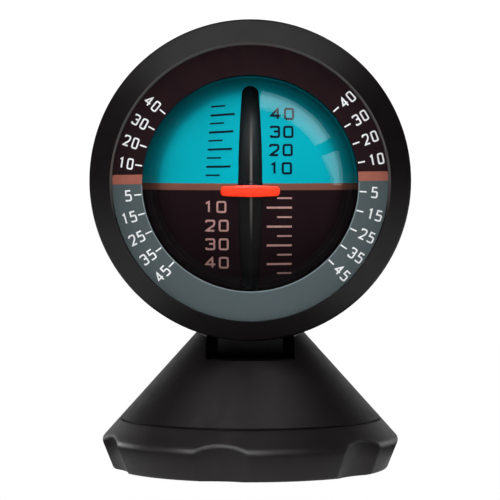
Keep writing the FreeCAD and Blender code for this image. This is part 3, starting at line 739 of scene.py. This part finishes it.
def softbox(name, direction, distance, width, height, radiance, receivers, glossy=True,
            diffuse=True, by_dome=False):
    """Rectangular lamp of an even brightness, facing the dome, for some pieces only."""
    lamp = bpy.data.lights.new(name, "AREA")
    lamp.shape = "RECTANGLE"
    lamp.size = width
    lamp.size_y = height
    lamp.energy = radiance * math.pi * width * height
    # A path that leaves through the dome misses a lamp that is kept off it, and would cost
    # the pieces behind the dome a share of that lamp's light.
    lamp.cycles.use_multiple_importance_sampling = not by_dome
    holder = bpy.data.objects.new(name, lamp)
    holder.location = dome_centre + direction.normalized() * distance
    holder.rotation_euler = (-direction).to_track_quat("-Z", "Y").to_euler()
    holder.visible_camera = False
    holder.visible_glossy = glossy
    holder.visible_diffuse = diffuse
    holder.light_linking.receiver_collection = receivers
    bpy.context.scene.collection.objects.link(holder)
    return holder


def glint_softbox(name, ends, depths, radiance, receivers):
    """Lamp beside the dome that makes a curved glint on it.

    Each end is in degrees clockwise from straight up, seen from the front, and a distance.
    The depths are how far the lamp's edges stand in front of the dome's middle.
    """
    a, b = (Vector((math.sin(math.radians(turn)), 0, math.cos(math.radians(turn)))) * distance
            for turn, distance in ends)
    along = (b - a).normalized()
    outward = along.cross(Vector((0, 1, 0)))
    middle = (a + b) / 2 - Vector((0, sum(depths) / 2, 0))
    lamp = softbox(name, middle, middle.length, (b - a).length, depths[1] - depths[0], radiance,
                   receivers)
    lamp.rotation_euler = Matrix((along, outward.cross(along), outward)).transposed().to_euler()
    lamp.data.cycles.max_bounces = 1      # glints alone, no light through the dome


def receivers_of(name, state, *nodes):
    """Collection that gives a lamp to some nodes alone, or keeps it off them."""
    collection = bpy.data.collections.new(name)
    for node in nodes:
        collection.objects.link(frame["nodes"][node])
    for entry in collection.collection_objects:
        entry.light_linking.link_state = state
    return collection


dome_only = receivers_of("lit_dome_only", "INCLUDE", "dome_lens")
all_but_dome = receivers_of("lit_all_but_dome", "EXCLUDE", "dome_lens")
head_only = receivers_of("lit_head_only", "EXCLUDE", "dome_lens", "stand_cone", "base_body")
front_only = receivers_of("lit_front_only", "INCLUDE", "stand_cone", "base_body", "front_bezel",
                          "pointer_bar")
cone_only = receivers_of("lit_cone_only", "INCLUDE", "stand_cone")
base_only = receivers_of("lit_base_only", "INCLUDE", "base_body")
dial_only = receivers_of("lit_dial_only", "INCLUDE", "scale_ring", "pointer_bar",
                         "pointer_collar", "pivot_shaft", "roll_yoke", "ball_upper_shell",
                         "ball_lower_shell", "horizon_band")
for print_layer in (upper_print, lower_print, ring_marks):
    dial_only.objects.link(print_layer)
back_only = receivers_of("lit_back_only", "INCLUDE", "case_shell", "shaft_washer", "shaft_nut",
                         "pivot_shaft")
pointer_only = receivers_of("lit_pointer_only", "INCLUDE", "pointer_bar")

stage_floor(all_but_dome)
studio_world()

# The two glints on the dome.
glint_softbox("key_softbox", ends=((7, 0.61), (60.5, 0.61)), depths=(0.021, 0.209),
              radiance=3.4, receivers=dome_only)
glint_softbox("side_softbox", ends=((69.5, 0.40), (91.5, 0.72)), depths=(0.012, 0.138),
              radiance=2.6, receivers=dome_only)
# From above: the head, then the cone and the base.
softbox("overhead", Vector((-0.06, -0.6, 0.8)), distance=0.8, width=1.1, height=0.5,
        radiance=1.15, receivers=head_only, by_dome=True)
for name, receivers, radiance in (("cone_top", cone_only, 1.0), ("base_top", base_only, 0.15)):
    softbox(name, Vector((-0.03, -0.24, 0.95)), distance=0.8, width=1.6, height=0.4,
            radiance=radiance, receivers=receivers)
# From the front: the bezel and the stand, then more on the base.
softbox("front_fill", Vector((0, -0.84, 0.54)), distance=1.2, width=1.3, height=0.45,
        radiance=2.4, receivers=front_only, glossy=False)
softbox("base_front", Vector((-0.05, -0.86, 0.5)), distance=0.9, width=1.4, height=0.5,
        radiance=1.2, receivers=base_only)
# Behind the dome: the dial, from the front and from both sides, then more on the pointer.
softbox("dial_lamp", Vector((0, -1, 0.02)), distance=0.12, width=0.04, height=0.04,
        radiance=12.0, receivers=dial_only, glossy=False, by_dome=True)
for side in (-1, 1):
    softbox("dial_side_lamp", Vector((0.92 * side, -0.375, 0.10)), distance=0.3, width=0.15,
            height=0.3, radiance=3.5, receivers=dial_only, glossy=False, by_dome=True)
softbox("pointer_lamp", Vector((0, -0.6, 0.8)), distance=0.4, width=0.1, height=0.1,
        radiance=18.0, receivers=pointer_only, by_dome=True)
# Both ends of the base, from the sides and a little behind.
for side, radiance in ((-1, 5.0), (1, 3.0)):
    softbox("rim_lamp", Vector((0.85 * side, 0.5, 0)), distance=0.6, width=0.3, height=0.3,
            radiance=radiance, receivers=base_only)
# The pointer's upper rim, the rear of the case, and the edges of the flutes.
softbox("pointer_glint", Vector((0, -0.9, 0.44)), distance=0.4, width=0.1, height=0.1,
        radiance=8.0, receivers=pointer_only, diffuse=False, by_dome=True)
softbox("back_fill", Vector((-0.5, 1, 0.75)), distance=1.2, width=1.3, height=0.9,
        radiance=2.6, receivers=back_only)
softbox("edge_light", Vector((-0.4, -0.92, 0.15)), distance=1.2, width=1.0, height=1.0,
        radiance=8.5, receivers=base_only, diffuse=False)

# ---------------------------------------------------------------- camera
FOCAL_PIXELS = 2722.7         # focal length in pixels of the photo's frame
FRAME_PIXELS = 500
SENSOR_WIDTH = 36             # millimetres, as Blender has it
CAMERA_PLACE = (-0.06 * MM, -638.6 * MM, 72.6 * MM)
CAMERA_DOWN = 1.90            # degrees

camera_data = bpy.data.cameras.new("camera")
camera_data.sensor_width = SENSOR_WIDTH
camera_data.lens = FOCAL_PIXELS / FRAME_PIXELS * SENSOR_WIDTH
camera_data.clip_start = 0.01
camera_data.clip_end = 50
camera = bpy.data.objects.new("camera", camera_data)
camera.location = CAMERA_PLACE
camera.rotation_euler = (math.radians(90 - CAMERA_DOWN), 0, 0)
bpy.context.scene.collection.objects.link(camera)
bpy.context.scene.camera = camera
bpy.context.scene.view_settings.view_transform = "Standard"
